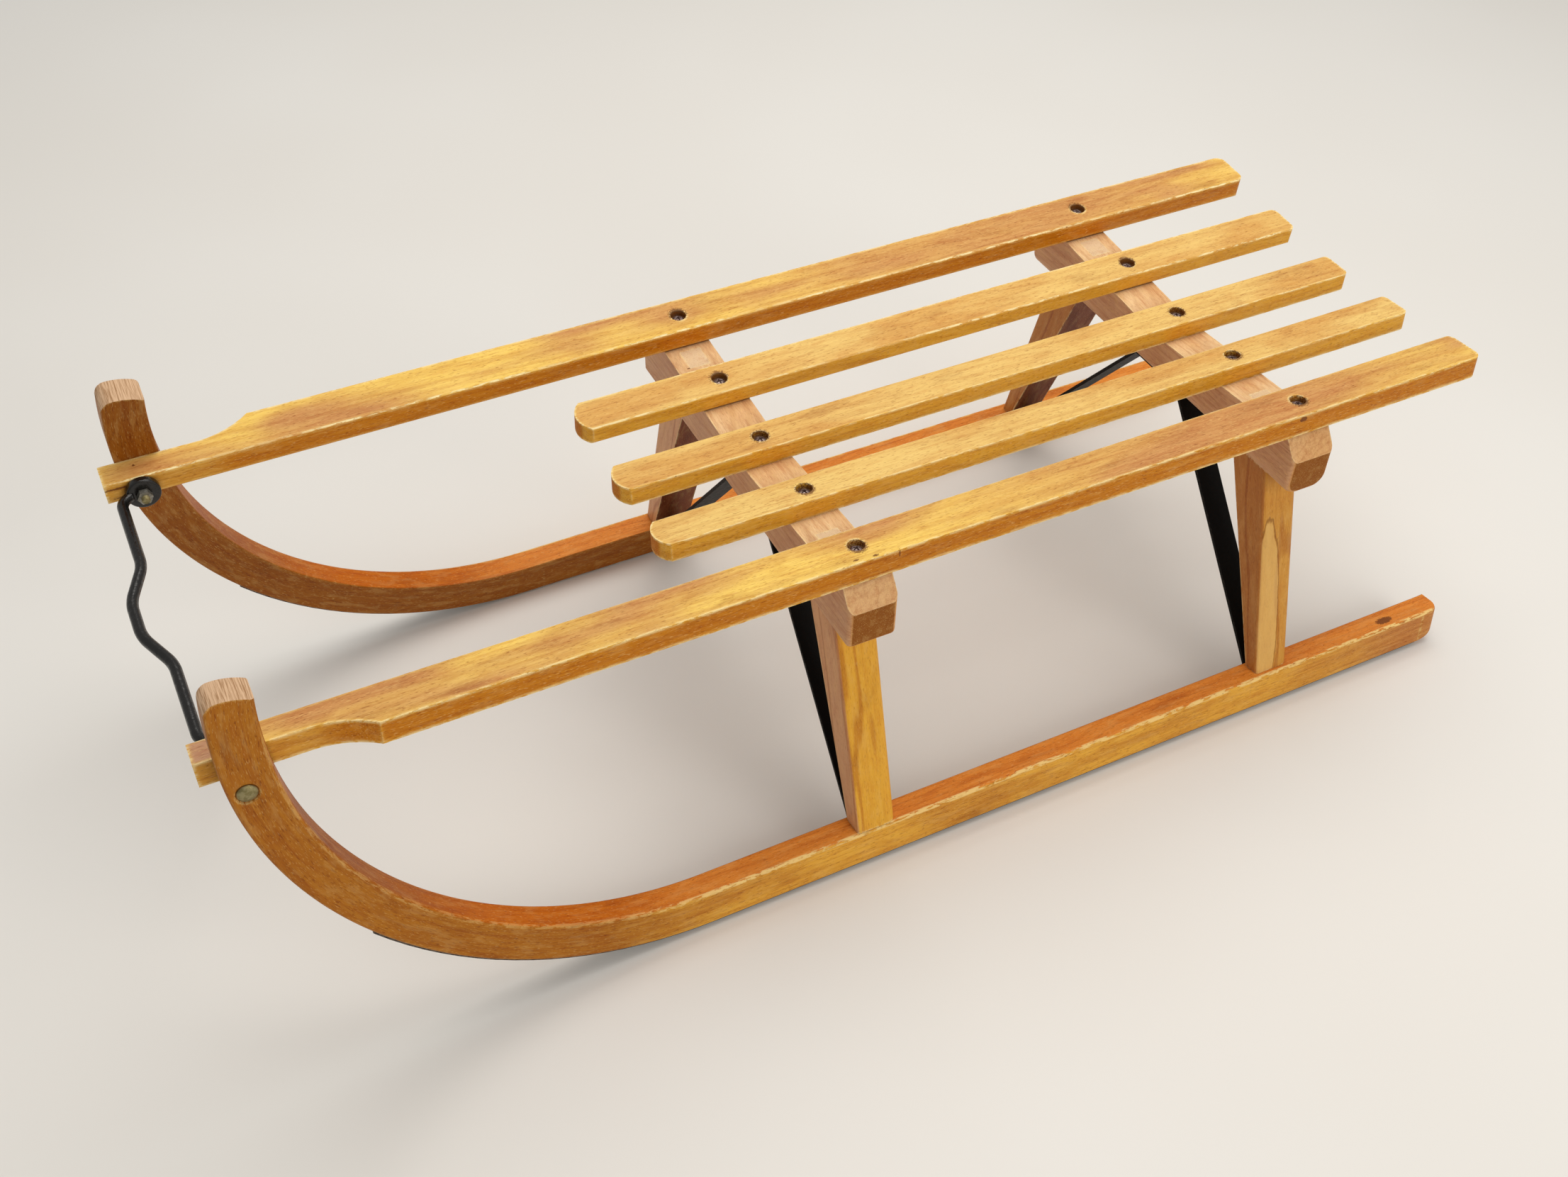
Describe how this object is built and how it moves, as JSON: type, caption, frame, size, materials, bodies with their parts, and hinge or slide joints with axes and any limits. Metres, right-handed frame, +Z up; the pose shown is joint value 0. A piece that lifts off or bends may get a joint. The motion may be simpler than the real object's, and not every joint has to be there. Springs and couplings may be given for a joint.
{
  "type": "davos sled",
  "caption": "Slatted wooden sled with bent runners, splayed legs, steel running strips and braces, and a pull bar that swings on bolts between the horns.",
  "frame": {"origin": "on the floor, at the middle of the overall length and of the overall width", "axes": "+X forward to the horns and the pull bar, +Y to the sled's left, +Z up"},
  "size_m": [1.0524, 0.4326, 0.3523],
  "materials": {
    "varnished_wood": "aged satin varnish",
    "worn_steel": "worn and slightly rusted",
    "black_steel": "satin black",
    "dark_steel": "dull, darkened",
    "zinc_steel": "dull zinc",
    "bar_steel": "gloss black paint, worn"
  },
  "bodies": {
    "sled": {"runner_left": "varnished_wood", "runner_right": "varnished_wood", "rail_left": "varnished_wood", "rail_right": "varnished_wood", "slat_left": "varnished_wood", "slat_centre": "varnished_wood", "slat_right": "varnished_wood", "cross_member_front": "varnished_wood", "cross_member_rear": "varnished_wood", "leg_front_left": "varnished_wood", "leg_front_right": "varnished_wood", "leg_rear_left": "varnished_wood", "leg_rear_right": "varnished_wood", "running_strip_left": "worn_steel", "running_strip_right": "worn_steel", "brace_front": "black_steel", "brace_rear": "black_steel", "seat_screws": "dark_steel", "coach_bolt_left": "zinc_steel", "coach_bolt_right": "zinc_steel", "nut_left": "zinc_steel", "nut_right": "zinc_steel"},
    "pull_bar": {"pull_bar": "bar_steel"}
  },
  "joints": [
    {"name": "pull_bar_swing", "type": "hinge", "parent": "sled", "child": "pull_bar", "pos_m": [0.4912, 0, 0.279], "axis": [0, -1, 0], "continuous": true}
  ]
}
